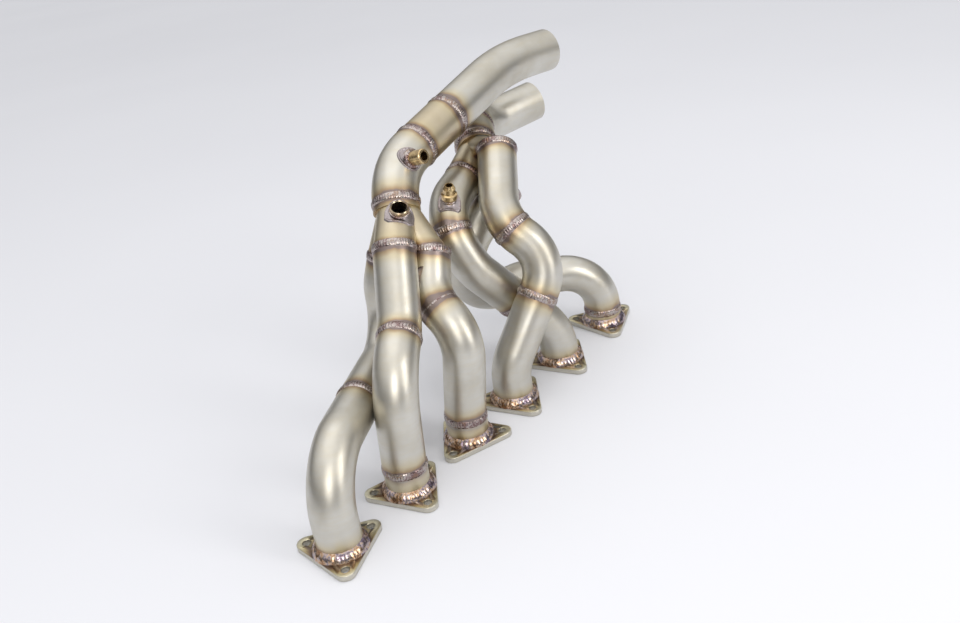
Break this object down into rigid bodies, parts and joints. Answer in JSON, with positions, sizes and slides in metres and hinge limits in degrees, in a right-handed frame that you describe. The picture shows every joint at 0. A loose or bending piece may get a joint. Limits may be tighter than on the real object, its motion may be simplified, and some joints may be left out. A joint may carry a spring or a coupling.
{
  "type": "exhaust manifold",
  "caption": "Tubular exhaust manifold for a straight six: curved primary runners from triangular port flanges merge in two collectors that feed two outlet pipes.",
  "frame": {"origin": "centre of port 1 on the gasket face", "axes": "+X along the row of ports to port 6, +Y towards the outlet side, +Z away from the cylinder head"},
  "size_m": [0.6384, 0.2337, 0.3579],
  "materials": {
    "runner": "satin",
    "collector": "satin",
    "outlet": "satin",
    "flange": "machined, heat tinted",
    "weld": "rippled, heat tinted",
    "bung": "machined",
    "brass_fitting": "machined",
    "gusset": "heat tinted"
  },
  "bodies": {
    "root": {"collector_1": "collector", "collector_1_inlet_weld": "weld", "collector_1_outlet_weld": "weld", "collector_2": "collector", "collector_2_inlet_weld": "weld", "collector_2_outlet_weld": "weld", "flange_weld_1": "weld", "flange_weld_2": "weld", "flange_weld_3": "weld", "flange_weld_4": "weld", "flange_weld_5": "weld", "flange_weld_6": "weld", "flare_fitting": "brass_fitting", "flare_fitting_weld": "weld", "gusset": "gusset", "outlet_1_elbow": "outlet", "outlet_1_sleeve": "outlet", "outlet_1_tail": "outlet", "outlet_1_welds": "weld", "outlet_2_elbow": "outlet", "outlet_2_tail": "outlet", "outlet_2_welds": "weld", "outlet_bung": "brass_fitting", "outlet_bung_weld": "weld", "port_flange_1": "flange", "port_flange_2": "flange", "port_flange_3": "flange", "port_flange_4": "flange", "port_flange_5": "flange", "port_flange_6": "flange", "runner_1_lower_bend": "runner", "runner_1_upper_bend": "runner", "runner_1_welds": "weld", "runner_2_bend": "runner", "runner_2_stub": "runner", "runner_2_upper_tube": "runner", "runner_2_welds": "weld", "runner_3_bend": "runner", "runner_3_stub": "runner", "runner_3_upper_tube": "runner", "runner_3_welds": "weld", "runner_4_lower_tube": "runner", "runner_4_middle_bend": "runner", "runner_4_top_elbow": "runner", "runner_4_welds": "weld", "runner_5_lower_bend": "runner", "runner_5_middle_tube": "runner", "runner_5_top_elbow": "runner", "runner_5_welds": "weld", "runner_6_crossover": "runner", "runner_6_return_bend": "runner", "runner_6_stub": "runner", "runner_6_welds": "weld", "sensor_bung": "bung", "sensor_bung_weld": "weld"}
  },
  "joints": []
}
